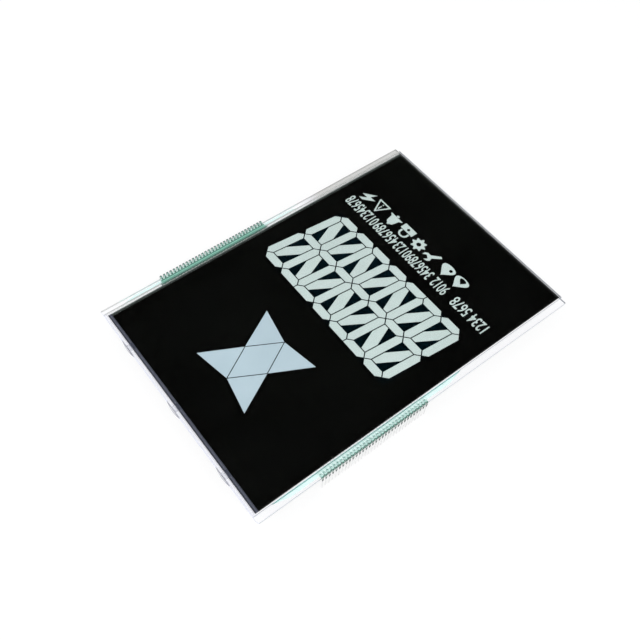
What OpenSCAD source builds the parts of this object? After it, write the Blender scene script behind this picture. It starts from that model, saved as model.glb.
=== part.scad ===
// Segment display panel: two glass plates with a liquid crystal cell between them,
// a polarizing film on each face, and a row of clip-on pins along each long edge.
// X points to the display's right, Y to its top and Z out of its face.
// The origin lies under the middle of the panel, level with the tips of the pins.

/* [Glass] */
// Thickness of each glass plate
glass_t = 1.1; // [0.7:0.1:1.5]
// Width of the rear plate, across the display
rear_w = 139; // [132:1:160]
// Length of both plates, along the display
glass_l = 200; // [194:1:230]
// Width of the bare ledge beside the front plate, on each long edge
ledge_w = 3.5; // [3.3:0.1:5]
// Length of the nipped corner of the rear plate, along the long edge
nip_l = 0.7; // [0.2:0.1:2]
// Width of the nipped corner, along the short edge
nip_w = 1.6; // [0.2:0.1:3]

/* [Films] */
// Thickness of each polarizing film
film_t = 0.2; // [0.1:0.01:0.4]
// Margin of front plate left bare around the front film
front_margin = 1; // [0.3:0.1:2]
// Margin of front plate size left bare around the rear film
rear_margin = 2; // [0.3:0.1:3]

/* [Cell] */
// Thickness of the liquid crystal layer and its segments
crystal_t = 0.08; // [0.04:0.01:0.2]
// Thickness of the clear electrode coat on the front plate
coat_t = 0.02; // [0.01:0.01:0.05]
// Space left between layers that lie on each other
layer_gap = 0.02; // [0.01:0.01:0.05]
// Distance from the top edge of the front plate to the seal
seal_top = 1.8; // [1:0.1:1.8]
// Distance from the bottom edge of the front plate to the seal
seal_bottom = 0.3; // [0.3:0.1:1]
// Distance from the right edge of the front plate to the seal
seal_right = 1; // [0.3:0.1:1.8]
// Distance from the left edge of the front plate to the seal
seal_left = 0.9; // [0.3:0.1:1]
// Distance from the top edge of the front plate to the crystal
border_top = 3.7; // [2.6:0.1:4]
// Distance from the bottom edge of the front plate to the crystal
border_bottom = 1.4; // [1.3:0.1:4]
// Distance from the right edge of the front plate to the crystal
border_right = 2.6; // [2.2:0.1:4]
// Distance from the left edge of the front plate to the crystal
border_left = 1.3; // [1.3:0.1:4]
// Radius of the conductive dots that join the two plates
dot_r = 0.25; // [0.15:0.05:0.3]
// Distance of a dot's centre from the side edge of the front plate
dot_inset = 3.4; // [3:0.1:8]
// Clearance round each dot in the seal
dot_fit = 0.05; // [0.03:0.01:0.08]

/* [Fill ports] */
// Number of ports in the top run of the seal
port_count = 3; // [1:1:3]
// Distance between neighbouring ports
port_pitch = 42; // [30:1:48]
// Width of a port
port_w = 4; // [2:0.5:8]
// Length of the resin that closes a port, along the glass edge
plug_l = 11; // [9:0.5:16]
// How far the resin stands out of the glass edge
plug_out = 0.7; // [0.3:0.1:1.2]
// How much lower than the top and bottom of the glass edges the resin ends
plug_drop = 0.25; // [0.1:0.05:0.4]

/* [Arrow sign] */
// Distance from the top edge of the glass to the middle of the sign
arrow_from_top = 47.5; // [36:0.1:54]
// How far right of the panel's middle line the sign lies
arrow_x = -0.9; // [-5:0.1:5]
// Distance from the middle of the sign to a tip, across
tip_x = 20.8; // [16:0.1:26]
// Distance from the middle of the sign to a tip, up or down
tip_y = 21.5; // [19:0.1:26]
// Half width of the middle diamond
diamond_x = 9.6; // [6:0.1:14]
// Half height of the middle diamond
diamond_y = 17.5; // [12:0.1:18.5]
// Space between the diamond and each tip
sign_gap = 0.45; // [0.2:0.05:0.6]

/* [Digit field] */
// Distance from the top edge of the glass to the field's middle line
field_from_top = 115.8; // [104:0.1:124]
// How far right of the panel's middle line the field lies
field_x = 0.5; // [-3:0.1:3]
// Distance between neighbouring upright bars
cell_w = 13.9; // [11:0.05:14.5]
// Height of one row of cells
cell_h = 24.25; // [20:0.05:27]
// Width of a segment
stroke_w = 4.5; // [3:0.1:5.5]
// Space between neighbouring segments
stroke_gap = 0.6; // [0.2:0.05:0.9]
// How far the uprights lean to the right
lean_deg = 5.5; // [0:0.1:10]
// Height that a diagonal bar takes on an upright
slash_h = 7.7; // [4:0.1:11]
// Width that a diagonal bar takes on a level bar
slash_w = 2.8; // [1.5:0.1:4.5]

/* [Pins] */
// Number of pins on each long edge
pin_count = 33; // [10:1:34]
// Distance between neighbouring pins
pin_pitch = 2; // [1.8:0.1:2.2]
// Distance from the top edge of the glass to the middle of the first pin
pins_from_top = 36; // [30:0.5:60]
// Thickness of the pin's sheet metal
metal_t = 0.25; // [0.15:0.05:0.3]
// Width of the clip that grips the ledge
clip_w = 0.9; // [0.6:0.1:1.2]
// Width of the leg
leg_w = 0.5; // [0.3:0.05:0.8]
// Distance from the underside of the rear plate to the tip of a leg
leg_len = 10; // [5:0.5:15]
// Distance from the glass edge to the middle of the clip's back
back_out = 0.5; // [0.3:0.05:0.8]
// Radius of the clip's arch
arch_r = 0.8; // [0.5:0.05:0.9]
// Height of the middle of the arch's sheet over the ledge
arch_h = 2.05; // [1.6:0.05:2.6]
// Distance from the glass edge to where the finger presses on the ledge
grip_in = 2; // [1.6:0.1:2.3]
// Distance from the glass edge to where the jaw presses on the underside
jaw_in = 1.5; // [1.2:0.1:2]
// Width of the jaw, which is cut out of the clip's back and bent in
jaw_w = 0.4; // [0.2:0.05:0.4]
// Clearance on each side of the jaw in its cut
jaw_cut = 0.05; // [0.03:0.01:0.08]
// Clearance between the clip and the glass it presses on
grip_gap = 0.02; // [0.01:0.01:0.05]

/* [Tracks and resin] */
// Thickness of the clear conductor tracks
track_t = 0.02; // [0.01:0.01:0.05]
// Width of a contact pad
pad_w = 1.1; // [0.6:0.1:1.4]
// Width of a track
track_w = 0.4; // [0.2:0.1:0.8]
// How far a track runs in under the crystal
track_in = 1; // [0.5:0.1:3]
// Height of the resin bead over the ledge
bead_h = 0.95; // [0.6:0.05:1.2]
// How far the bead runs past the first and last pin
bead_over = 1.1; // [0.8:0.1:2]
// Clearance round each finger in the bead
bead_fit = 0.02; // [0.01:0.01:0.05]
// Height of the thin coat over the tracks, at the front plate
veil_h = 0.35; // [0.15:0.05:0.6]
// Width of the thin coat
veil_w = 2.2; // [1:0.1:2.8]
// How far the thin coat runs on past each end of the bead
veil_l = 25; // [10:1:30]
// Length of the slanted ends of the thin coat
veil_slant = 9; // [3:1:9]

/* [Hidden] */
$fn = 48;

front_w = rear_w - 2 * ledge_w;
top_y = glass_l / 2;
side_x = front_w / 2;

// Heights of the layers, from the tips of the pins up
rear_z = leg_len;
ledge_z = rear_z + glass_t;
cell_z = ledge_z + track_t + layer_gap;
coat_z = cell_z + crystal_t + layer_gap;
front_z = coat_z + coat_t + layer_gap;
film_z = front_z + glass_t + layer_gap;
seal_t = front_z - layer_gap - cell_z;

// Corners of the crystal: left, right, bottom and top
crystal_x0 = border_left - side_x;
crystal_x1 = side_x - border_right;
crystal_y0 = border_bottom - top_y;
crystal_y1 = top_y - border_top;

field_cols = 7;
field_rows = 2;
field_y = top_y - field_from_top;
half_stroke = stroke_w / 2;
// A 45 degree end draws back by this much to leave half the space between segments
tip_back = stroke_gap * sqrt(2) / 2;
// Ends of border bars that are square outside, each as [bar, end], counted from the
// left: 0 is a bar's left end and 1 its right end
top_square = [[1, 1], [2, 0], [4, 1], [5, 0]];
bottom_square = [[1, 1], [2, 0], [4, 1]];

pins_y0 = top_y - pins_from_top - (pin_count - 1) * pin_pitch;
pins_mid_y = (pins_y0 + top_y - pins_from_top) / 2;
pins_l = (pin_count - 1) * pin_pitch;

// Clip, in a frame with X out of the glass edge and Z over the top of the ledge
arch_turn = 140;
arch_steps = 5;
grip_z = track_t + grip_gap + metal_t / 2;
lip_run = 0.55;
lip_rise = 0.4;
jaw_z = -glass_t - grip_gap - metal_t / 2;
jaw_root = -glass_t - 0.8;
jaw_bend = 0.3;
shoulder_z = jaw_root - 0.2;
shoulder_l = 0.5;
leg_point_l = 0.8;
leg_point_w = 0.16;

// Resin bead and the thin coat beyond it
resin_z = track_t + layer_gap;
bead_l = pins_l + 2 * bead_over;
bead_x0 = layer_gap - ledge_w;
bead_x1 = -0.15;
bead_r = (bead_x1 - bead_x0) / 2;

// Places of the lattice points where segments meet, before the field leans
function node_x(i) = (i - field_cols / 2) * cell_w;
function node_y(j) = (field_rows / 2 - j) * cell_h;
function lattice(i, j) = [node_x(i), node_y(j)];
function leaned(p) = [p[0] + tan(lean_deg) * p[1] + field_x, p[1] + field_y];

// Outline of a bar from a to b with 45 degree ends. A square end fills out the
// corner that lies to the left of the way from a to b.
function bar_outline(a, b, square_a = false, square_b = false) =
    let (d = (b - a) / norm(b - a), n = [-d[1], d[0]], h = half_stroke,
         p = a + d * tip_back, q = b - d * tip_back, e = stroke_gap / 2 - tip_back)
    concat(
        square_a ? [p + d * e + n * h, p + (d - n) * e] : [p + (d + n) * h, p],
        [p + (d - n) * h, q - (d + n) * h],
        square_b ? [q - (d + n) * e, q - d * e + n * h] : [q, q - (d - n) * h]
    );

// Outline of a diagonal bar in a cell, rising to the right, or to the left if falling
function slash_outline(i, j, falling) =
    let (m = half_stroke + stroke_gap,
         x0 = falling ? node_x(i + 1) - m : node_x(i) + m,
         x1 = falling ? node_x(i) + m : node_x(i + 1) - m,
         w = falling ? -slash_w : slash_w,
         y0 = node_y(j + 1) + m, y1 = node_y(j) - m)
    [[x0, y0], [x0 + w, y0], [x1, y1 - slash_h], [x1, y1], [x1 - w, y1], [x0, y0 + slash_h]];

// Where the diagonals fall to the right: every other cell, from the second in the top
// row and the third in the bottom row
function falls(i, j) = j == 0 ? i % 2 == 1 : i > 0 && i % 2 == 0;

function has(ends, i, end) = len([for (e = ends) if (e == [i, end]) e]) > 0;

function upright_outlines() = [
    for (i = [0:field_cols]) for (j = [0:field_rows - 1])
        bar_outline(lattice(i, j + 1), lattice(i, j))
];
function level_outlines() = [
    for (i = [0:field_cols - 1]) for (j = [0:field_rows])
        j == 0
        ? bar_outline(lattice(i, j), lattice(i + 1, j), has(top_square, i, 0), has(top_square, i, 1))
        : j == field_rows
        ? bar_outline(lattice(i + 1, j), lattice(i, j),
            has(bottom_square, i, 1), has(bottom_square, i, 0))
        : bar_outline(lattice(i, j), lattice(i + 1, j))
];
function diagonal_outlines() = [
    for (i = [0:field_cols - 1]) for (j = [0:field_rows - 1]) slash_outline(i, j, falls(i, j))
];
function lean_all(outlines) = [for (o = outlines) [for (p = o) leaned(p)]];

// The sign is a diamond and four triangles that run out from its sides to the tips
diamond_h = diamond_x * diamond_y / norm([diamond_x, diamond_y]);
tip_h = (tip_x / diamond_x + tip_y / diamond_y - 1) * diamond_h;
function sign_place(p) = [p[0] + arrow_x, p[1] + top_y - arrow_from_top];
function tip_outline(sx, sy) =
    let (t = [sx * tip_x, sy * tip_y], a = [0, sy * diamond_y], b = [sx * diamond_x, 0],
         back = sign_gap / 2 / tip_h)
    [t, a + (t - a) * back, b + (t - b) * back];
function diamond_outline() =
    let (s = 1 - sign_gap / 2 / diamond_h)
    [[s * diamond_x, 0], [0, s * diamond_y], [-s * diamond_x, 0], [0, -s * diamond_y]];
function sign_outlines() =
    [for (o = concat([diamond_outline()], [for (sx = [-1, 1]) for (sy = [-1, 1]) tip_outline(sx, sy)]))
        [for (p = o) sign_place(p)]];

// Outline of a strip of sheet, metal_t thick, along a path, with mitred bends
function unit(v) = v / norm(v);
function left_of(v) = [-v[1], v[0]];
function side_point(path, i, d) =
    let (last = len(path) - 1,
         a = left_of(unit(path[max(i, 1)] - path[max(i, 1) - 1])),
         b = left_of(unit(path[min(i, last - 1) + 1] - path[min(i, last - 1)])),
         m = unit(a + b))
    path[i] + m * d / (m * a);
function ribbon(path, t) = concat(
    [for (i = [0:len(path) - 1]) side_point(path, i, t / 2)],
    [for (i = [len(path) - 1:-1:0]) side_point(path, i, -t / 2)]
);

// Middle line of the clip's finger and back: lip, grip, arch, back
function finger_path() = concat(
    [[-grip_in - lip_run, grip_z + lip_rise], [-grip_in, grip_z]],
    [for (k = [arch_steps:-1:0])
        let (turn = arch_turn * k / arch_steps)
        [back_out - arch_r + arch_r * cos(turn), arch_h - arch_r + arch_r * sin(turn)]],
    [[back_out, shoulder_z]]
);
// Middle line of the jaw that presses on the plate's underside
function jaw_path() = [
    [back_out, jaw_root], [back_out - jaw_bend, jaw_root + jaw_bend],
    [-jaw_in, jaw_z], [-jaw_in - lip_run, jaw_z - lip_rise]
];
function path_l(path, i = 1) =
    i == len(path) ? 0 : norm(path[i] - path[i - 1]) + path_l(path, i + 1);

// A flat layer of thickness t, whose underside lies at height z
module layer(z, t, x0, x1, y0, y1) {
    translate([x0, y0, z]) cube([x1 - x0, y1 - y0, t]);
}

// Prisms on a list of outlines
module raised(outlines, z, t) {
    for (o = outlines) translate([0, 0, z]) linear_extrude(t) polygon(o);
}

// Children repeated at every pin of one edge, in the clip's own frame
module at_pins() {
    for (k = [0:pin_count - 1]) translate([rear_w / 2, pins_y0 + k * pin_pitch, ledge_z]) children();
}

// A profile in X and Z, drawn out to a length along Y about its middle
module along_edge(outline, l) {
    translate([0, l / 2, 0]) rotate([90, 0, 0]) linear_extrude(l) polygon(outline);
}

module to_left() {
    mirror([1, 0, 0]) children();
}

module front_polarizer() {
    m = front_margin;
    color([0.35, 0.36, 0.4, 0.35]) layer(film_z, film_t, m - side_x, side_x - m, m - top_y, top_y - m);
}

module front_glass() {
    color([0.85, 0.92, 0.95, 0.3]) layer(front_z, glass_t, -side_x, side_x, -top_y, top_y);
}

module common_electrode() {
    color([0.8, 0.85, 0.9, 0.2])
        layer(coat_z, coat_t, crystal_x0, crystal_x1, crystal_y0, crystal_y1);
}

module liquid_crystal() {
    color([0.03, 0.03, 0.03]) difference() {
        layer(cell_z, crystal_t, crystal_x0, crystal_x1, crystal_y0, crystal_y1);
        raised(sign_outlines(), cell_z - crystal_t, 3 * crystal_t);
        raised(lean_all(upright_outlines()), cell_z - crystal_t, 3 * crystal_t);
        raised(lean_all(level_outlines()), cell_z - crystal_t, 3 * crystal_t);
        raised(lean_all(diagonal_outlines()), cell_z - crystal_t, 3 * crystal_t);
    }
}

module arrow_segments() {
    color([0.73, 0.81, 0.84]) raised(sign_outlines(), cell_z, crystal_t);
}

module upright_segments() {
    color([0.78, 0.85, 0.83]) raised(lean_all(upright_outlines()), cell_z, crystal_t);
}

module level_segments() {
    color([0.78, 0.85, 0.83]) raised(lean_all(level_outlines()), cell_z, crystal_t);
}

module diagonal_segments() {
    color([0.78, 0.85, 0.83]) raised(lean_all(diagonal_outlines()), cell_z, crystal_t);
}

module at_ports() {
    for (k = [0:port_count - 1]) translate([(k - (port_count - 1) / 2) * port_pitch, 0, 0]) children();
}

module at_dots() {
    for (side = [-1, 1])
        translate([side * (side_x - dot_inset), top_y - (border_top + seal_top) / 2, 0]) children();
}

module perimeter_seal() {
    color([0.3, 0.3, 0.37]) difference() {
        layer(cell_z, seal_t, seal_left - side_x, side_x - seal_right, seal_bottom - top_y, top_y - seal_top);
        layer(cell_z - seal_t, 3 * seal_t, crystal_x0, crystal_x1, crystal_y0, crystal_y1);
        at_ports() layer(cell_z - seal_t, 3 * seal_t, -port_w / 2, port_w / 2, crystal_y1 - 1, top_y);
        at_dots() translate([0, 0, cell_z - seal_t]) cylinder(h = 3 * seal_t, r = dot_r + dot_fit);
    }
}

module transfer_dots() {
    color([0.75, 0.75, 0.72]) at_dots() translate([0, 0, cell_z]) cylinder(h = seal_t, r = dot_r);
}

// Resin that fills one port and swells out over the two glass edges
module port_plug() {
    swell_r = (pow(plug_l / 2, 2) + pow(plug_out, 2)) / (2 * plug_out);
    low = rear_z + plug_drop;
    color([0.55, 0.55, 0.58]) union() {
        layer(cell_z, seal_t, -port_w / 2, port_w / 2, crystal_y1, top_y + plug_out / 2);
        intersection() {
            translate([0, top_y + plug_out - swell_r, low])
                cylinder(h = film_z - layer_gap - plug_drop - low, r = swell_r, $fn = 192);
            layer(rear_z, film_z - rear_z, -plug_l, plug_l, top_y, top_y + 2 * plug_out);
        }
    }
}

module fill_port_plug(k) {
    translate([(k - (port_count - 1) / 2) * port_pitch, 0, 0]) port_plug();
}

module rear_glass() {
    x = rear_w / 2;
    color([0.85, 0.92, 0.95, 0.3]) translate([0, 0, rear_z]) linear_extrude(glass_t)
        polygon([[-x, -top_y], [x, -top_y], [x, top_y], [nip_w - x, top_y], [-x, top_y - nip_l]]);
}

module rear_polarizer() {
    m = rear_margin;
    color([0.25, 0.24, 0.3, 0.6]) layer(
        rear_z - layer_gap - film_t, film_t, m - side_x, side_x - m, m - top_y, top_y - m);
}

// One contact pad on the ledge, with the track that leads in under the crystal
module track_pad(border) {
    pad_x = bead_x0 + 0.5;
    track_x = -ledge_w - border - track_in;
    p = pad_w / 2;
    t = track_w / 2;
    linear_extrude(track_t) polygon([
        [track_x, -t], [pad_x, -t], [pad_x, -p], [bead_x1, -p],
        [bead_x1, p], [pad_x, p], [pad_x, t], [track_x, t]
    ]);
}

module track_pads_left() {
    color([0.75, 0.85, 0.8, 0.5]) to_left() at_pins() track_pad(border_left);
}

module track_pads_right() {
    color([0.75, 0.85, 0.8, 0.5]) at_pins() track_pad(border_right);
}

// One pin: a clip whose finger and jaw grip the ledge, and a pointed leg. The jaw is cut
// out of the clip's back, so it leaves a window as long as itself above its bend.
module contact_pin() {
    tip_z = -glass_t - leg_len;
    c = clip_w / 2;
    g = leg_w / 2;
    p = leg_point_w / 2;
    cut = jaw_w / 2 + jaw_cut;
    color([0.68, 0.7, 0.7]) union() {
        difference() {
            along_edge(ribbon(finger_path(), metal_t), clip_w);
            translate([back_out - metal_t, -cut, jaw_root + metal_t / 2])
                cube([2 * metal_t, 2 * cut, path_l(jaw_path()) - metal_t / 2]);
        }
        along_edge(ribbon(jaw_path(), metal_t), jaw_w);
        translate([back_out - metal_t / 2, 0, 0]) rotate([90, 0, 90]) linear_extrude(metal_t)
            polygon([
                [-c, shoulder_z], [-g, shoulder_z - shoulder_l],
                [-g, tip_z + leg_point_l], [-p, tip_z], [p, tip_z], [g, tip_z + leg_point_l],
                [g, shoulder_z - shoulder_l], [c, shoulder_z]
            ]);
    }
}

module contact_pins_left() {
    to_left() at_pins() contact_pin();
}

module contact_pins_right() {
    at_pins() contact_pin();
}

// Plan of the bead, in the clip's frame: a long block with round ends
module bead_plan(z, t) {
    half = bead_l / 2 - bead_r;
    translate([bead_x0 + bead_r, 0, z]) union() {
        translate([-bead_r, -half, 0]) cube([2 * bead_r, 2 * half, t]);
        for (end = [-1, 1]) translate([0, end * half, 0]) cylinder(h = t, r = bead_r);
    }
}

module pin_resin() {
    w = bead_x1 - bead_x0;
    color([0.45, 0.85, 0.7, 0.6]) difference() {
        translate([rear_w / 2, pins_mid_y, ledge_z]) intersection() {
            along_edge([
                [bead_x0, resin_z], [bead_x1, resin_z], [bead_x1, bead_h * 0.4],
                [bead_x1 - w * 0.15, bead_h * 0.85], [bead_x1 - w * 0.4, bead_h],
                [bead_x1 - w * 0.75, bead_h * 0.85], [bead_x0, bead_h * 0.45]
            ], bead_l);
            bead_plan(0, 2 * bead_h);
        }
        at_pins() along_edge(ribbon(finger_path(), metal_t + 2 * bead_fit), clip_w + 2 * bead_fit);
    }
}

module pin_resin_left() {
    to_left() pin_resin();
}

module pin_resin_right() {
    pin_resin();
}

// Thin coat over the bare tracks on both sides of the bead, with slanted ends
module track_coat() {
    reach = bead_l / 2 + veil_l;
    x1 = bead_x0 + veil_w;
    color([0.75, 0.95, 0.9, 0.5]) translate([rear_w / 2, pins_mid_y, ledge_z]) difference() {
        intersection() {
            along_edge([[bead_x0, resin_z], [x1, resin_z], [x1, resin_z + layer_gap], [bead_x0, veil_h]],
                2 * reach);
            linear_extrude(veil_h) polygon([
                [bead_x0, -reach], [x1, veil_slant - reach], [x1, reach - veil_slant], [bead_x0, reach]
            ]);
        }
        translate([bead_x0 - veil_w, -bead_l / 2 + bead_r, 0]) cube([3 * veil_w, bead_l - 2 * bead_r, veil_h]);
        for (end = [-1, 1]) translate([bead_x0 + bead_r, end * (bead_l / 2 - bead_r), 0])
            cylinder(h = veil_h, r = bead_r + layer_gap);
    }
}

module track_coat_left() {
    to_left() track_coat();
}

module track_coat_right() {
    track_coat();
}

front_polarizer();
front_glass();
common_electrode();
liquid_crystal();
arrow_segments();
upright_segments();
level_segments();
diagonal_segments();
perimeter_seal();
transfer_dots();
fill_port_plug(0);  // fill_port_plug_left
fill_port_plug(1);  // fill_port_plug_middle
fill_port_plug(2);  // fill_port_plug_right
rear_glass();
rear_polarizer();
track_pads_left();
track_pads_right();
contact_pins_left();
contact_pins_right();
pin_resin_left();
pin_resin_right();
track_coat_left();
track_coat_right();
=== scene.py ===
import math
import bpy
import bmesh
import numpy as np
from mathutils import Matrix, Vector


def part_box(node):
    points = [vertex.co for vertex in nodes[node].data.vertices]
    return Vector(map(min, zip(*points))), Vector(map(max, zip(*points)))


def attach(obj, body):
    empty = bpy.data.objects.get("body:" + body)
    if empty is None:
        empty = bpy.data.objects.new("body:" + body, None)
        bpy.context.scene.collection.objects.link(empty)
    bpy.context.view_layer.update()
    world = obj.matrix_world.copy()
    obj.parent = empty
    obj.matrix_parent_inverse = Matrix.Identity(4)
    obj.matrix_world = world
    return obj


bpy.context.scene.view_settings.view_transform = "Standard"
bpy.context.scene.cycles.transparent_max_bounces = 32  # clear layers lie six deep over the cell

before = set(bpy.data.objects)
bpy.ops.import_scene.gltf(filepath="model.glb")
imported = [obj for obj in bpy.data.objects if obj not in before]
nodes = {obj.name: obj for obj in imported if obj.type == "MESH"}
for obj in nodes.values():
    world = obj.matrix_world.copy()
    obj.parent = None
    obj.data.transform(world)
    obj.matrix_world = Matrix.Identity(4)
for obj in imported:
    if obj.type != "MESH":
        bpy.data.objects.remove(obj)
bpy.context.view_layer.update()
print("frame loaded:", len(nodes), "nodes")

mm = 0.001
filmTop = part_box("front_polarizer")[1].z
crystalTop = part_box("liquid_crystal")[1].z
white = (1.0, 1.0, 1.0)
noiseReach = (0.3, 0.7)     # nearly all of a noise's values lie between these,
noiseMiddle = (0.35, 0.65)  # and most of them between these

cameraSettings = {
    "place": (-167.71 * mm, 159.74 * mm, 339.57 * mm + filmTop),
    "right": (-0.61147, -0.79012, 0.04259),
    "down": (-0.67702, 0.49456, -0.54502),
    "lens": 44.42,
    "sensor": 36.0,
    "clip": (0.01, 20),
}


def makeCamera(s):
    # Turned so that its X is "right" and its Y is against "down", made square to each other.
    data = bpy.data.cameras.new("photoCamera")
    data.lens = s["lens"]
    data.sensor_width = s["sensor"]
    data.clip_start, data.clip_end = s["clip"]
    cam = bpy.data.objects.new("photoCamera", data)
    right = Vector(s["right"]).normalized()
    up = -Vector(s["down"])
    up = (up - right * up.dot(right)).normalized()
    back = right.cross(up)
    turn = Matrix((right, up, back)).transposed().to_4x4()
    cam.matrix_world = Matrix.Translation(Vector(s["place"])) @ turn
    bpy.context.scene.collection.objects.link(cam)
    bpy.context.scene.camera = cam


# Helpers for node trees: most of them add a node or two and give back its output socket.

def put(tree, value, socket):
    # a socket takes a number, a colour triple or another socket's output
    if isinstance(value, tuple):
        socket.default_value = (*value, 1)
    elif isinstance(value, (int, float)):
        socket.default_value = value
    else:
        tree.links.new(value, socket)


def calc(tree, operation, *values):
    node = tree.nodes.new("ShaderNodeMath")
    node.operation = operation
    for place, value in enumerate(values):
        put(tree, value, node.inputs[place])
    return node.outputs[0]


def product(tree, first, second):
    return calc(tree, "MULTIPLY", first, second)


def sizeOf(tree, source):
    return calc(tree, "ABSOLUTE", source)


def ramp(tree, source, low, high, colorLow, colorHigh):
    # turns a value between low and high into a colour between two
    node = tree.nodes.new("ShaderNodeValToRGB")
    node.color_ramp.elements[0].position = low
    node.color_ramp.elements[0].color = (*colorLow, 1)
    node.color_ramp.elements[1].position = high
    node.color_ramp.elements[1].color = (*colorHigh, 1)
    tree.links.new(source, node.inputs["Fac"])
    return node.outputs["Color"]


def spread(tree, source, low, high, outLow, outHigh):
    # maps low..high to outLow..outHigh, held at the ends
    node = tree.nodes.new("ShaderNodeMapRange")
    node.inputs["From Min"].default_value = low
    node.inputs["From Max"].default_value = high
    node.inputs["To Min"].default_value = outLow
    node.inputs["To Max"].default_value = outHigh
    tree.links.new(source, node.inputs["Value"])
    return node.outputs["Result"]


def stretch(tree, source, low, high, fade):
    # 1 between low and high, falling to 0 over the fade outside them
    rise = spread(tree, source, low - fade, low, 0, 1)
    fall = spread(tree, source, high, high + fade, 1, 0)
    return product(tree, rise, fall)


def blendColor(tree, factor, first, second, kind="MIX"):
    node = tree.nodes.new("ShaderNodeMix")
    node.data_type = "RGBA"
    node.blend_type = kind
    put(tree, factor, node.inputs["Factor"])
    put(tree, first, node.inputs[6])
    put(tree, second, node.inputs[7])
    return node.outputs[2]


def blendValue(tree, factor, first, second):
    node = tree.nodes.new("ShaderNodeMix")
    put(tree, factor, node.inputs["Factor"])
    put(tree, first, node.inputs[2])
    put(tree, second, node.inputs[3])
    return node.outputs[0]


def tinted(tree, color, tone):
    # one colour times another
    return blendColor(tree, 1.0, color, tone, "MULTIPLY")


def coordinate(tree, axis, kind="Object"):
    place = tree.nodes.new("ShaderNodeTexCoord")
    part = tree.nodes.new("ShaderNodeSeparateXYZ")
    tree.links.new(place.outputs[kind], part.inputs[0])
    return part.outputs[axis]


def sideFactor(tree):
    # 1 on upright faces and 0 on level ones: one less the size of the normal's Z
    return calc(tree, "SUBTRACT", 1.0, sizeOf(tree, coordinate(tree, "Z", "Normal")))


def halfFactor(tree, axis):
    # 0 on the panel's left or bottom half and 1 on its right or top one, with 20 mm between
    return spread(tree, coordinate(tree, axis), -10 * mm, 10 * mm, 0, 1)


def objectNoise(tree, scale, detail=3.0, squeeze=(1, 1, 1), kind="ShaderNodeTexNoise"):
    # noise on Object coordinates, with its features 1/scale metres across
    place = tree.nodes.new("ShaderNodeTexCoord")
    turn = tree.nodes.new("ShaderNodeMapping")
    turn.inputs["Scale"].default_value = squeeze
    tree.links.new(place.outputs["Object"], turn.inputs["Vector"])
    tex = tree.nodes.new(kind)
    tex.inputs["Scale"].default_value = scale
    tex.inputs["Detail"].default_value = detail
    tree.links.new(turn.outputs["Vector"], tex.inputs["Vector"])
    return tex.outputs[0]


def bump(tree, shader, source, strength, distance):
    node = tree.nodes.new("ShaderNodeBump")
    node.inputs["Strength"].default_value = strength
    node.inputs["Distance"].default_value = distance
    tree.links.new(source, node.inputs["Height"])
    tree.links.new(node.outputs["Normal"], shader.inputs["Normal"])


def seenDirectly(tree):
    # 1 for a camera, glossy or transmission ray: the largest of the three flags
    path = tree.nodes.new("ShaderNodeLightPath").outputs
    either = calc(tree, "MAXIMUM", path["Is Camera Ray"], path["Is Glossy Ray"])
    return calc(tree, "MAXIMUM", either, path["Is Transmission Ray"])


def newMaterial(name, color, rough=0.4, metal=0.0, alpha=1.0, level=0.5):
    # even values sit on the shader's own sockets
    mat = bpy.data.materials.new(name)
    mat.use_nodes = True
    shader = mat.node_tree.nodes["Principled BSDF"]
    shader.inputs["Base Color"].default_value = (*color, 1)
    shader.inputs["Roughness"].default_value = rough
    shader.inputs["Metallic"].default_value = metal
    shader.inputs["Alpha"].default_value = alpha
    shader.inputs["Specular IOR Level"].default_value = level
    return mat, mat.node_tree, shader


def wear(mat, *names):
    for name in names:
        nodes[name].data.materials.clear()
        nodes[name].data.materials.append(mat)


lightSettings = {
    "shownStrength": 1.0,
    "litTint": (0.97, 0.985, 1),
    "litStrength": 0.62,
    "lamps": [
        # name, place, size and watts; each looks at the panel's foot
        ("overCamera", (-0.55, 0.65, 1.15), 0.9, 11.0),
        ("rightHigh", (0.85, 0.75, 0.9), 0.7, 5.0),
        ("leftLow", (-1.0, -0.35, 0.6), 0.8, 4.0),
    ],
}


def makeLights(s):
    # The world is white to the eye and in reflections, and lights the panel more softly.
    world = bpy.data.worlds.new("paleRoom")
    bpy.context.scene.world = world
    world.use_nodes = True
    tree = world.node_tree
    tree.nodes.clear()
    out = tree.nodes.new("ShaderNodeOutputWorld")
    shown = tree.nodes.new("ShaderNodeBackground")
    shown.inputs["Color"].default_value = (*white, 1)
    shown.inputs["Strength"].default_value = s["shownStrength"]
    lit = tree.nodes.new("ShaderNodeBackground")
    lit.inputs["Color"].default_value = (*s["litTint"], 1)
    lit.inputs["Strength"].default_value = s["litStrength"]
    mix = tree.nodes.new("ShaderNodeMixShader")
    tree.links.new(seenDirectly(tree), mix.inputs["Fac"])
    tree.links.new(lit.outputs[0], mix.inputs[1])
    tree.links.new(shown.outputs[0], mix.inputs[2])
    tree.links.new(mix.outputs[0], out.inputs["Surface"])
    for name, place, size, watts in s["lamps"]:
        data = bpy.data.lights.new(name, "AREA")
        data.shape = "DISK"
        data.size = size
        data.energy = watts
        lamp = bpy.data.objects.new(name, data)
        lamp.location = place
        lamp.rotation_euler = (-Vector(place)).to_track_quat("-Z", "Y").to_euler()
        bpy.context.scene.collection.objects.link(lamp)


makeCamera(cameraSettings)
makeLights(lightSettings)
print("camera and lights set")

filmSettings = {
    "front": {"color": (0, 0, 0), "alpha": 0.08, "rough": 0.22, "level": 0},
    "rear": {"color": (0.004, 0.004, 0.007), "alpha": 0.985, "rough": 0.2, "level": 0.1},
    "coat": {"color": (0, 0, 0), "alpha": 0.004, "rough": 0.1, "level": 0},
    "haze": {"scale": 35, "detail": 4, "alphaRange": (0.9, 1.1), "roughRange": (0.8, 1.3)},
}


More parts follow.
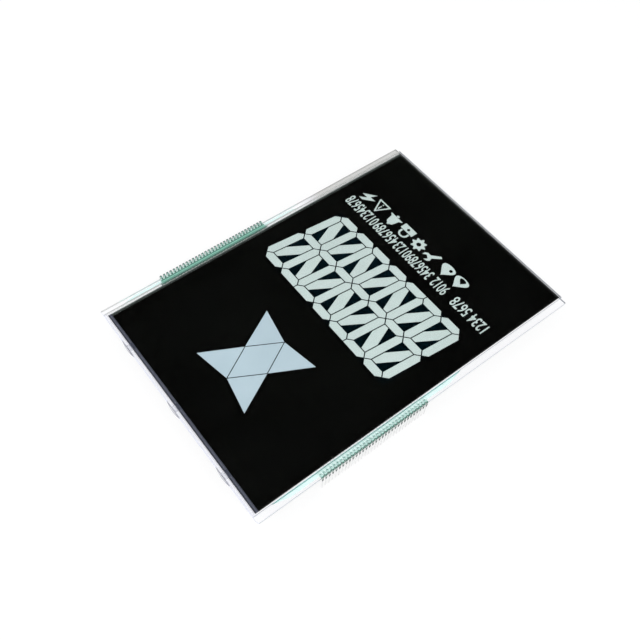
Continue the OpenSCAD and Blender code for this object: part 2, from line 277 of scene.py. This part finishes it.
def makeFilm(name, s, haze):
    # A film that dims what lies under it, with a faint haze in how much.
    mat, tree, shader = newMaterial(name, s["color"], s["rough"], alpha=s["alpha"],
                                    level=s["level"])
    cloud = objectNoise(tree, haze["scale"], haze["detail"])
    for socket, value, part in (("Alpha", s["alpha"], haze["alphaRange"]),
                                ("Roughness", s["rough"], haze["roughRange"])):
        tree.links.new(spread(tree, cloud, *noiseReach, value * part[0], min(1, value * part[1])),
                       shader.inputs[socket])
    return mat


wear(makeFilm("frontFilm", filmSettings["front"], filmSettings["haze"]), "front_polarizer")
wear(makeFilm("rearFilm", filmSettings["rear"], filmSettings["haze"]), "rear_polarizer")
wear(makeFilm("clearCoat", filmSettings["coat"], filmSettings["haze"]), "common_electrode")

# Cut edges of both plates, in painted light and shade: a painted tone for each side of the panel,
# lighter or darker as light falls there, and a darker painted shade for the arris lines, which
# lie past a share of the half height.
edgeSettings = {
    "left": (0.36, 0.40, 0.45), "right": (0.74, 0.75, 0.72),
    "bottom": (0.31, 0.32, 0.36), "top": (0.66, 0.68, 0.82),
    "alpha": 0.94, "level": 0.4, "faceRough": 0.04, "edgeRough": 0.35,
    "arris": (0.75, 0.75, 0.75), "arrisFrom": 0.6, "arrisTo": 0.95,
    "hackle": {"scale": 900, "detail": 2, "squeeze": (1, 1, 0.15), "strength": 0.15,
               "depth": 0.03 * mm},
}
# The run gives painted edge tones beside the green resin, its reflection and shade painted into
# the glass edge, and from where to where along Y they reach.
frontGlassSettings = {
    "color": (0.66, 0.68, 0.82), "alpha": 0,
    "rimAlpha": 0.16, "rimY": (98.0 * mm, 98.8 * mm),
    "underside": (0.1 * mm, 0.2 * mm),
    "beadShade": (0.045, 0.12, 0.09), "beadSteps": [(64.9 * mm, 0.3), (65.2 * mm, 0.9)],
    "beadEdge": 0.1 * mm, "beadY": (-1 * mm, 65 * mm), "beadFade": 2 * mm,
    "run": {"left": (0.70, 0.85, 0.86), "leftY": (-24 * mm, 88 * mm),
            "right": (0.22, 0.48, 0.39), "rightY": (-1 * mm, 65 * mm), "fade": 2 * mm},
}
rearGlassSettings = {
    "color": (0.76, 0.79, 0.93), "alpha": 0.05,
    "farShade": (0.42, 0.425, 0.405), "farAlpha": 0.38,
    "farX": (60 * mm, 66 * mm), "farY": (-40 * mm, -26 * mm),
    "run": {"left": (0.07, 0.20, 0.16), "leftY": (-1 * mm, 65 * mm),
            "right": (0.80, 0.95, 0.90), "rightY": (-25 * mm, 89 * mm), "fade": 1 * mm},
}


def frontFace(tree, s, floorZ):
    # Clear, with a faint rim along the top edge, and painted green shade on the underside beside
    # the right bead, in two steps that grow denser outward.
    x, y, z = (coordinate(tree, axis) for axis in "XYZ")
    rim = spread(tree, y, *s["rimY"], 0, 1)
    color, alpha = s["color"], spread(tree, rim, 0, 1, s["alpha"], s["rimAlpha"])
    under = spread(tree, z, floorZ + s["underside"][0], floorZ + s["underside"][1], 1, 0)
    beside = product(tree, under, stretch(tree, y, *s["beadY"], s["beadFade"]))
    # painted green shade at the plate's edge over the right bead
    for start, strength in s["beadSteps"]:
        bead = product(tree, spread(tree, x, start, start + s["beadEdge"], 0, 1), beside)
        color = blendColor(tree, bead, color, s["beadShade"])
        alpha = blendValue(tree, bead, alpha, strength)
    return color, alpha


def rearFace(tree, s, floorZ):
    # Nearly clear, with painted grey shade on the bare part of the right ledge.
    far = product(tree, spread(tree, coordinate(tree, "X"), *s["farX"], 0, 1),
                  spread(tree, coordinate(tree, "Y"), *s["farY"], 1, 0))
    return (blendColor(tree, far, s["color"], s["farShade"]),
            spread(tree, far, 0, 1, s["alpha"], s["farAlpha"]))


def makeGlass(name, node, s, edge, makeFace):
    # An edge takes a painted light-and-shade tone from its side of the panel, left or right and
    # bottom or top, and the size of its normal's Y mixes the two pairs. The painted arris shade
    # grows with the distance in height from the middle.
    mat, tree, shader = newMaterial(name, s["color"], edge["faceRough"], alpha=s["alpha"],
                                    level=edge["level"])
    low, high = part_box(node)
    y = coordinate(tree, "Y")
    run = s["run"]
    # painted reflection and shade of the green resin on the edges beside it
    left, right = (blendColor(tree, stretch(tree, y, *run[way + "Y"], run["fade"]),
                              edge[way], run[way]) for way in ("left", "right"))
    across = blendColor(tree, halfFactor(tree, "X"), left, right)
    along = blendColor(tree, halfFactor(tree, "Y"), edge["bottom"], edge["top"])
    # painted light and shade of each side of the panel, on the cut edges
    cut = blendColor(tree, sizeOf(tree, coordinate(tree, "Y", "Normal")), across, along)
    away = sizeOf(tree, spread(tree, coordinate(tree, "Z"), low.z, high.z, -1, 1))
    tone = ramp(tree, away, edge["arrisFrom"], edge["arrisTo"], white, edge["arris"])
    faceColor, faceAlpha = makeFace(tree, s, low.z)
    side = sideFactor(tree)
    tree.links.new(blendColor(tree, side, faceColor, tinted(tree, cut, tone)),
                   shader.inputs["Base Color"])
    tree.links.new(blendValue(tree, side, faceAlpha, edge["alpha"]), shader.inputs["Alpha"])
    tree.links.new(spread(tree, side, 0, 1, edge["faceRough"], edge["edgeRough"]),
                   shader.inputs["Roughness"])
    hackle = edge["hackle"]
    bump(tree, shader, objectNoise(tree, hackle["scale"], hackle["detail"], hackle["squeeze"]),
         hackle["strength"], hackle["depth"])
    return mat


wear(makeGlass("frontGlass", "front_glass", frontGlassSettings, edgeSettings, frontFace),
     "front_glass")
wear(makeGlass("rearGlass", "rear_glass", rearGlassSettings, edgeSettings, rearFace),
     "rear_glass")

printSettings = {
    "digits": {"low": (0.62, 0.74, 0.71), "high": (0.66, 0.78, 0.75), "scale": 60,
               "rough": 0.5, "level": 0.1},
    "arrow": {"low": (0.52, 0.66, 0.73), "high": (0.55, 0.69, 0.76), "scale": 60,
              "rough": 0.5, "level": 0.1},
    "silver": {"low": (0.05, 0.05, 0.06), "high": (0.12, 0.12, 0.13), "scale": 900,
               "rough": 0.5, "level": 0.1},
}


def makePrint(name, s):
    # Two close tones that drift over the surface, as the cell's light does.
    mat, tree, shader = newMaterial(name, s["low"], s["rough"], level=s["level"])
    drift = objectNoise(tree, s["scale"], 4)
    tree.links.new(ramp(tree, drift, *noiseMiddle, s["low"], s["high"]),
                   shader.inputs["Base Color"])
    return mat


digits = makePrint("paleSegments", printSettings["digits"])
wear(digits, "upright_segments", "level_segments", "diagonal_segments")
wear(makePrint("blueSegments", printSettings["arrow"]), "arrow_segments")
wear(makePrint("silverResin", printSettings["silver"]), "transfer_dots")

cellSettings = {
    "low": (0.0029, 0.0030, 0.0027), "high": (0.0041, 0.0044, 0.0039),
    "fieldLow": (0.0010, 0.0050, 0.0070), "fieldHigh": (0.0018, 0.0075, 0.0105),
    "fieldX": 46 * mm, "fieldY": (-38 * mm, 7 * mm), "fade": 5 * mm,
    "rough": 0.6, "level": 0, "drift": 25,
}


def makeCell(s):
    # Black crystal, with a teal cast over the digit field that fades at its edges.
    mat, tree, shader = newMaterial("darkCell", s["low"], s["rough"], level=s["level"])
    drift = objectNoise(tree, s["drift"], 4)
    plain = ramp(tree, drift, *noiseMiddle, s["low"], s["high"])
    cast = ramp(tree, drift, *noiseMiddle, s["fieldLow"], s["fieldHigh"])
    x = sizeOf(tree, coordinate(tree, "X"))
    across = spread(tree, x, s["fieldX"], s["fieldX"] + s["fade"], 1, 0)
    along = stretch(tree, coordinate(tree, "Y"), *s["fieldY"], s["fade"])
    tree.links.new(blendColor(tree, product(tree, across, along), plain, cast),
                   shader.inputs["Base Color"])
    return mat


wear(makeCell(cellSettings), "liquid_crystal")

# In each pair of tones the first is the resin's and the second the spacer beads'.
sealSettings = {
    "rough": 0.5, "level": 0.1, "cells": 1400,
    "run": ((0.018, 0.020, 0.020), (0.15, 0.16, 0.16)), "runCell": (0.25, 0.6),
    "right": ((0.030, 0.035, 0.032), (0.20, 0.215, 0.21)), "rightCell": (0.3, 0.7),
    "rightRim": (0.18, 0.21, 0.195), "rightRimX": (64.2 * mm, 64.9 * mm),
    "top": ((0.060, 0.064, 0.085), (0.14, 0.15, 0.18)), "topCell": (0.25, 0.75),
    "topY": (96.1 * mm, 96.4 * mm),
    # a painted highlight line across the top, then a painted shade along its rim
    "lineY": (96.9 * mm, 97.35 * mm), "lineFade": 0.15 * mm, "lineHighlight": (1.7, 1.7, 1.7),
    "rimY": (97.6 * mm, 97.75 * mm), "rimShade": (0.55, 0.55, 0.55),
}


def makeSeal(s):
    # Dark resin full of pale spacer beads: a bead's tone falls with the distance from the middle
    # of its cell. The right side is painted paler as light falls there, and the top has a painted
    # highlight line and a painted darker shade along its rim.
    mat, tree, shader = newMaterial("sealResin", s["run"][0], s["rough"], level=s["level"])
    beads = objectNoise(tree, s["cells"], 2, kind="ShaderNodeTexVoronoi")
    run, right, top = (ramp(tree, beads, *s[part + "Cell"], s[part][1], s[part][0])
                       for part in ("run", "right", "top"))
    y = coordinate(tree, "Y")
    line = stretch(tree, y, *s["lineY"], s["lineFade"])
    top = tinted(tree, top, blendColor(tree, line, white, s["lineHighlight"]))
    rim = spread(tree, y, *s["rimY"], 0, 1)
    top = tinted(tree, top, blendColor(tree, rim, white, s["rimShade"]))
    rightRim = spread(tree, coordinate(tree, "X"), *s["rightRimX"], 0, 1)
    right = blendColor(tree, rightRim, right, s["rightRim"])
    sides = blendColor(tree, halfFactor(tree, "X"), run, right)
    reach = spread(tree, y, *s["topY"], 0, 1)
    tree.links.new(blendColor(tree, reach, sides, top), shader.inputs["Base Color"])
    return mat


wear(makeSeal(sealSettings), "perimeter_seal")

plugSettings = {
    # painted shade colours the plug's upright sides outside the cell
    "inside": (0.05, 0.055, 0.08), "wallShade": (0.24, 0.25, 0.33), "face": (0.80, 0.81, 0.90),
    "insideAlpha": 1.0, "wallAlpha": 0.75, "faceAlpha": 0.2,
    "mouthY": (98.0 * mm, 98.2 * mm), "rough": 0.2, "level": 0.3, "cloud": 300,
}


def makePlug(s):
    # Port resin: dark inside the cell, and outside it clear, with painted shade on its upright
    # sides.
    mat, tree, shader = newMaterial("portResin", s["face"], s["rough"], alpha=s["faceAlpha"],
                                    level=s["level"])
    out = spread(tree, coordinate(tree, "Y"), *s["mouthY"], 0, 1)
    side = sideFactor(tree)
    cloud = ramp(tree, objectNoise(tree, s["cloud"]), *noiseReach, s["wallShade"], s["face"])
    outer = blendColor(tree, side, cloud, s["wallShade"])
    tree.links.new(blendColor(tree, out, s["inside"], outer), shader.inputs["Base Color"])
    clear = spread(tree, side, 0, 1, s["faceAlpha"], s["wallAlpha"])
    tree.links.new(blendValue(tree, out, s["insideAlpha"], clear), shader.inputs["Alpha"])
    return mat


wear(makePlug(plugSettings), "fill_port_plug_left", "fill_port_plug_middle", "fill_port_plug_right")

resinSettings = {
    # painted light and shade: the left bead lighter and the right darker, with painted shade lines
    "left": (0.76, 1.0, 0.96), "leftShadeLine": (0.10, 0.30, 0.27),
    "right": (0.25, 0.54, 0.43), "rightInner": (0.29, 0.61, 0.49),
    "rightShadeLine": (0.065, 0.205, 0.16), "rightOuter": (0.72, 0.93, 0.87),
    "footShade": (0.03, 0.13, 0.10),
    "leftAlpha": 0.45, "leftLineAlpha": 0.6, "rightAlpha": 0.85, "footAlpha": 0.95,
    "innerX": (66.35 * mm, 66.55 * mm), "lineX": (67.15 * mm, 67.65 * mm), "lineFade": 0.12 * mm,
    "footX": 68.85 * mm, "footFade": 0.3 * mm,
    "cloud": 420, "cloudSpan": (0.35, 0.7), "cloudLow": (0.86, 0.89, 0.88),
    "rough": 0.12, "bump": 0.3, "bumpDepth": 0.2 * mm,
}


def makeResin(s):
    # Green resin in runs side by side along X, painted lighter on the left bead and darker on the
    # right one, as light falls on each. The left bead is paler and clearer, with a painted shade
    # line inside and a painted dark shade along its outer edge; the right one has a painted shade
    # line and a pale outer run.
    mat, tree, shader = newMaterial("greenResin", s["left"], s["rough"], alpha=s["leftAlpha"])
    cloud = objectNoise(tree, s["cloud"])
    x = coordinate(tree, "X")
    inLow, inHigh = s["innerX"]
    lineEnd = s["lineX"][1]
    far = halfFactor(tree, "X")
    outer = blendColor(tree, spread(tree, x, lineEnd, lineEnd + s["footFade"], 0, 1),
                       s["right"], s["rightOuter"])
    line = stretch(tree, x, *s["lineX"], s["lineFade"])
    right = blendColor(tree, line, outer, s["rightShadeLine"])
    inner = spread(tree, x, inLow, inHigh, 0, 1)
    right = blendColor(tree, inner, s["rightInner"], right)
    left = blendColor(tree, spread(tree, x, -inHigh, -inLow, 0, 1), s["left"], s["leftShadeLine"])
    body = blendColor(tree, far, left, right)
    footShade = spread(tree, x, -s["footX"] - s["footFade"], -s["footX"], 1, 0)
    tone = ramp(tree, cloud, *s["cloudSpan"], s["cloudLow"], white)
    tree.links.new(tinted(tree, blendColor(tree, footShade, body, s["footShade"]), tone),
                   shader.inputs["Base Color"])
    leftClear = spread(tree, x, -inHigh, -inLow, s["leftAlpha"], s["leftLineAlpha"])
    clear = blendValue(tree, far, leftClear, s["rightAlpha"])
    tree.links.new(blendValue(tree, footShade, clear, s["footAlpha"]), shader.inputs["Alpha"])
    bump(tree, shader, cloud, s["bump"], s["bumpDepth"])
    return mat


wear(makeResin(resinSettings), "pin_resin_left", "pin_resin_right")

veilSettings = {
    # the coat's line is painted shade along its left inner edge
    "coat": {"color": (0.62, 0.92, 0.88), "alpha": 0.35, "line": (0.10, 0.30, 0.28),
             "lineAlpha": 0.65, "lineX": (-66.5 * mm, -66.35 * mm)},
    "track": {"color": (0.62, 0.95, 0.88), "alpha": 0.3},
    "cloud": {"scale": 150, "range": (0.8, 1.15), "rough": 0.2, "level": 0.4},
}


def makeVeil(name, s, cloud):
    # Thin clear coat with a cloudy strength, and a painted shade line along its left inner edge.
    mat, tree, shader = newMaterial(name, s["color"], cloud["rough"], alpha=s["alpha"],
                                    level=cloud["level"])
    alpha = spread(tree, objectNoise(tree, cloud["scale"]), *noiseReach,
                   s["alpha"] * cloud["range"][0], s["alpha"] * cloud["range"][1])
    if "line" in s:
        line = spread(tree, coordinate(tree, "X"), *s["lineX"], 0, 1)
        line = product(tree, line, calc(tree, "SUBTRACT", 1.0, halfFactor(tree, "X")))
        tree.links.new(blendColor(tree, line, s["color"], s["line"]), shader.inputs["Base Color"])
        alpha = blendValue(tree, line, alpha, s["lineAlpha"])
    tree.links.new(alpha, shader.inputs["Alpha"])
    return mat


wear(makeVeil("mintCoat", veilSettings["coat"], veilSettings["cloud"]),
     "track_coat_left", "track_coat_right")
wear(makeVeil("clearTrack", veilSettings["track"], veilSettings["cloud"]),
     "track_pads_left", "track_pads_right")

tinSettings = {
    "archX": 69.2 * mm, "archZ": 12.35 * mm,
    # degrees round the arch's middle, from the glass edge outward, and the tin's painted light and
    # shade there
    "stops": [
        (-90, (0.97, 0.97, 0.97)), (-78, (0.93, 0.94, 0.94)), (-76, (0.12, 0.15, 0.14)),
        (-65, (0.06, 0.09, 0.08)), (-58, (0.55, 0.66, 0.62)), (-12, (0.40, 0.50, 0.47)),
        (10, (0.06, 0.14, 0.11)), (54, (0.05, 0.14, 0.11)), (66, (0.36, 0.60, 0.54)),
        (88, (0.60, 0.85, 0.79)), (104, (0.78, 1.0, 0.95)), (250, (0.75, 0.98, 0.93)),
    ],
    # painted shade on the right row's clips, and a painted shade dash across the bends
    "rightShade": (0.24, 0.31, 0.29),
    "dashX": (67.5 * mm, 68.1 * mm), "dashFade": 0.1 * mm, "dashShade": (0.03, 0.08, 0.065),
    "grain": 1500, "grainSqueeze": (1, 1, 0.2), "grainLow": (0.8, 0.8, 0.8),
    "rough": (0.24, 0.42), "bump": 0.12, "bumpDepth": 0.04 * mm,
}


def makeTin(s):
    # Painted highlight and shade run round each clip: the arctangent of height over distance out,
    # both from the arch's middle line, picks the colour. The right row is painted darker, and a
    # dash of painted shade lies across the clips near their bends; the grain is the tin's own wear.
    mat, tree, shader = newMaterial("brightTin", s["stops"][0][1], s["rough"][0], metal=1)
    x = sizeOf(tree, coordinate(tree, "X"))
    out = spread(tree, x, s["archX"] - 1, s["archX"] + 1, -1, 1)
    up = spread(tree, coordinate(tree, "Z"), s["archZ"] - 1, s["archZ"] + 1, -1, 1)
    turn = calc(tree, "ARCTAN2", up, out)
    part = calc(tree, "FRACT", calc(tree, "MULTIPLY_ADD", turn, 1 / (2 * math.pi), 1.25))
    tones = tree.nodes.new("ShaderNodeValToRGB")
    stops = tones.color_ramp.elements
    for k, (degrees, color) in enumerate(s["stops"]):
        stop = stops[0] if k == 0 else stops.new(0.5)
        stop.position = (degrees + 90) / 360
        stop.color = (*color, 1)
    stops.remove(stops[-1])  # the ramp's own white end
    tree.links.new(part, tones.inputs["Fac"])
    grain = objectNoise(tree, s["grain"], 3, s["grainSqueeze"])
    worn = ramp(tree, grain, *noiseMiddle, s["grainLow"], white)
    sideShade = blendColor(tree, halfFactor(tree, "X"), white, s["rightShade"])
    dash = stretch(tree, x, *s["dashX"], s["dashFade"])
    dashShade = blendColor(tree, dash, white, s["dashShade"])
    shade = tinted(tree, tinted(tree, worn, sideShade), dashShade)
    tree.links.new(tinted(tree, tones.outputs["Color"], shade), shader.inputs["Base Color"])
    tree.links.new(spread(tree, grain, *noiseReach, *s["rough"]), shader.inputs["Roughness"])
    bump(tree, shader, grain, s["bump"], s["bumpDepth"])
    return mat


wear(makeTin(tinSettings), "contact_pins_left", "contact_pins_right")
print("finishes on", len(nodes), "nodes")


def meshFromCurve(curve):
    # the filled mesh of a flat curve or text, without the curve
    holder = bpy.data.objects.new("holder", curve)
    bpy.context.scene.collection.objects.link(holder)
    graph = bpy.context.evaluated_depsgraph_get()
    mesh = bpy.data.meshes.new_from_object(holder.evaluated_get(graph))
    bpy.data.objects.remove(holder)
    bpy.data.curves.remove(curve)
    return mesh


def placeMesh(mesh, low, high, z, thick):
    # Fits a flat mesh to a box: each point's share of the mesh's own size, times the box's size,
    # from the box's corner.
    co = np.empty(len(mesh.vertices) * 3, np.float32)
    mesh.vertices.foreach_get("co", co)
    co = co.reshape(-1, 3)
    start, end = co.min(0), co.max(0)
    share = (co - start) / np.maximum(end - start, 1e-9)
    co[:, 0] = low[0] + share[:, 0] * (high[0] - low[0])
    co[:, 1] = low[1] + share[:, 1] * (high[1] - low[1])
    co[:, 2] = z + (share[:, 2] - 0.5) * thick
    mesh.vertices.foreach_set("co", co.ravel())
    mesh.update()


def joinMeshes(meshes, name, mat):
    # one object of several meshes, with merged doubles and outward normals
    bm = bmesh.new()
    for mesh in meshes:
        bm.from_mesh(mesh)
    bmesh.ops.remove_doubles(bm, verts=bm.verts, dist=1e-7)
    bmesh.ops.recalc_face_normals(bm, faces=bm.faces)
    whole = bpy.data.meshes.new(name)
    bm.to_mesh(whole)
    bm.free()
    for mesh in meshes:
        bpy.data.meshes.remove(mesh)
    whole.materials.clear()
    whole.materials.append(mat)
    obj = bpy.data.objects.new(name, whole)
    bpy.context.scene.collection.objects.link(obj)
    return obj


numeralSettings = {
    "lift": 0.006 * mm,  # middle of the marks over the cell
    "thick": 0.008 * mm,
    "rowY": (-56.3 * mm, -49.0 * mm),
    "swell": 0.012,      # how much bolder than the plain letter form, in its own units
    "steps": 4,          # points to a curved stretch
    "groups": [
        # left and right end in mm, and the digits
        (-56.5, -32.2, "1234 5678"),
        (-26.8, -16.5, "9012"),
        (-14.2, 13.9, "34567890123"),
        (14.7, 31.2, "456789"),
        (32.0, 55.5, "012345678"),
    ],
}


def makeNumerals(s):
    meshes = []
    low, high = s["rowY"]
    for left, right, words in s["groups"]:
        text = bpy.data.curves.new("numerals", "FONT")
        text.body = words
        text.extrude = 0.01  # any height will do, as placeMesh fits it
        text.resolution_u = s["steps"]
        text.offset = s["swell"]
        mesh = meshFromCurve(text)
        placeMesh(mesh, (left * mm, low), (right * mm, high), crystalTop + s["lift"], s["thick"])
        meshes.append(mesh)
    return joinMeshes(meshes, "numeralRow", digits)


signSettings = {
    "lift": 0.006 * mm,
    "thick": 0.008 * mm,
    "rowY": (-66.9 * mm, -57.9 * mm),
    "width": 9.2 * mm,
    "middles": [-26.6, -16.2, -4.4, 6.2, 17.2, 28.0, 39.5, 49.1],  # in mm
    "spannerTurn": -38,
    "gearTeeth": 8,
}


def ring(radiusX, radiusY, steps, middle=(0, 0), start=0.0, end=2 * math.pi):
    # ellipse: the middle plus cosine and sine of even turns
    t = np.linspace(start, end, steps, endpoint=abs(end - start) < 6.28)
    return np.stack([middle[0] + radiusX * np.cos(t), middle[1] + radiusY * np.sin(t)], 1)


def dropLoop(width, low, high, sway=0.0, steps=48):
    # drop: across goes sin(t)(1 - cos(t)), up goes cos(t), leaning with the square of height
    t = np.linspace(0, 2 * math.pi, steps, endpoint=False)
    y = (np.cos(t) + 1) / 2
    x = width * np.sin(t) * (1 - np.cos(t)) / 1.3 + sway * y * y
    return np.stack([x, low + y * (high - low)], 1)


def gearLoop(teeth, rootR, tipR):
    # gear: the radius steps between root and tip, four points a tooth
    k = np.arange(teeth * 4)
    turn = (k + np.where(k % 2 == 0, 0.15, -0.15)) * 2 * math.pi / (teeth * 4)
    r = np.where((k // 2) % 2 == 0, tipR, rootR)
    return np.stack([r * np.cos(turn), r * np.sin(turn)], 1)


def mirrored(half):
    # a right half outline, then its mirror image backwards
    half = np.array(half, float)
    return np.concatenate([half, (half * (-1, 1))[::-1]])


def turned(points, degrees):
    a = math.radians(degrees)
    return np.asarray(points) @ np.array([[math.cos(a), math.sin(a)], [-math.sin(a), math.cos(a)]])


def signLoops(s):
    # eight plain service signs, each a list of closed loops in a box from -1 to 1
    flame = [dropLoop(0.78, -1, 1, 0.18), dropLoop(0.36, -0.86, 0.05, -0.1)]
    water = [dropLoop(0.7, -1, 1), ring(0.16, 0.22, 20, (-0.28, -0.42))]
    spanner = [turned(mirrored([(0.14, -0.95), (0.2, 0.15), (0.5, 0.38), (0.52, 0.72),
                                (0.3, 1.0), (0.24, 0.55)]), s["spannerTurn"])]
    gear = [gearLoop(s["gearTeeth"], 0.7, 0.98), ring(0.3, 0.3, 24)]
    bow = np.concatenate([[(0.52, 0.0)], ring(0.52, 0.6, 16, (0, 0.3), 0, math.pi),
                          [(-0.52, 0.0), (-0.32, 0.0)],
                          ring(0.32, 0.38, 16, (0, 0.3), math.pi, 0), [(0.32, 0.0)]])
    padlock = [mirrored([(0.75, -0.1), (0.75, -1.0)]), bow, ring(0.15, 0.2, 20, (0, -0.52))]
    bell = [mirrored([(0.12, 1.0), (0.14, 0.84), (0.42, 0.66), (0.52, 0.2), (0.6, -0.35),
                      (0.9, -0.6), (0.9, -0.7)]), ring(0.2, 0.16, 20, (0, -0.86))]
    warning = [mirrored([(0.06, 0.92), (1.0, -0.86), (0.94, -0.95)]),
               mirrored([(0.02, 0.6), (0.74, -0.76)]),
               mirrored([(0.1, 0.3), (0.06, -0.28)]), ring(0.1, 0.1, 14, (0, -0.52))]
    bolt = [np.array([(0.15, 1.0), (-0.6, -0.12), (-0.08, -0.12), (-0.3, -1.0), (0.6, 0.26),
                      (0.06, 0.26), (0.5, 1.0)])]
    return [flame, water, spanner, gear, padlock, bell, warning, bolt]


def makeSigns(s):
    meshes = []
    low, high = s["rowY"]
    for middle, loops in zip(s["middles"], signLoops(s)):
        curve = bpy.data.curves.new("sign", "CURVE")
        curve.dimensions = "2D"
        curve.fill_mode = "BOTH"
        curve.extrude = 0.01  # any height will do, as placeMesh fits it
        for loop in loops:
            spline = curve.splines.new("POLY")
            spline.points.add(len(loop) - 1)
            flat = np.concatenate([loop, np.zeros((len(loop), 1)), np.ones((len(loop), 1))], 1)
            spline.points.foreach_set("co", flat.ravel())
            spline.use_cyclic_u = True
        mesh = meshFromCurve(curve)
        left = middle * mm - s["width"] / 2
        placeMesh(mesh, (left, low), (left + s["width"], high), crystalTop + s["lift"], s["thick"])
        meshes.append(mesh)
    return joinMeshes(meshes, "signRow", digits)


for piece in (makeNumerals(numeralSettings), makeSigns(signSettings)):
    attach(piece, "root")
print("numerals and signs in place")

floorSettings = {"size": 6.0, "shine": 0.8, "color": (0.93, 0.93, 0.93)}


def makeFloor(s):
    # A level square; camera, glossy and transmitted rays see it partly as plain white.
    h = s["size"] / 2
    mesh = bpy.data.meshes.new("paleFloor")
    mesh.from_pydata([(-h, -h, 0), (h, -h, 0), (h, h, 0), (-h, h, 0)], [], [(0, 1, 2, 3)])
    floor = bpy.data.objects.new("paleFloor", mesh)
    bpy.context.scene.collection.objects.link(floor)
    mat = bpy.data.materials.new("paleFloor")
    mat.use_nodes = True
    tree = mat.node_tree
    tree.nodes.clear()
    out = tree.nodes.new("ShaderNodeOutputMaterial")
    matte = tree.nodes.new("ShaderNodeBsdfDiffuse")
    matte.inputs["Color"].default_value = (*s["color"], 1)
    glow = tree.nodes.new("ShaderNodeEmission")
    glow.inputs["Color"].default_value = (*white, 1)
    glow.inputs["Strength"].default_value = 1.0
    mix = tree.nodes.new("ShaderNodeMixShader")
    tree.links.new(product(tree, seenDirectly(tree), s["shine"]), mix.inputs["Fac"])
    tree.links.new(matte.outputs[0], mix.inputs[1])
    tree.links.new(glow.outputs[0], mix.inputs[2])
    tree.links.new(mix.outputs[0], out.inputs["Surface"])
    mesh.materials.append(mat)


makeFloor(floorSettings)
print("floor laid")
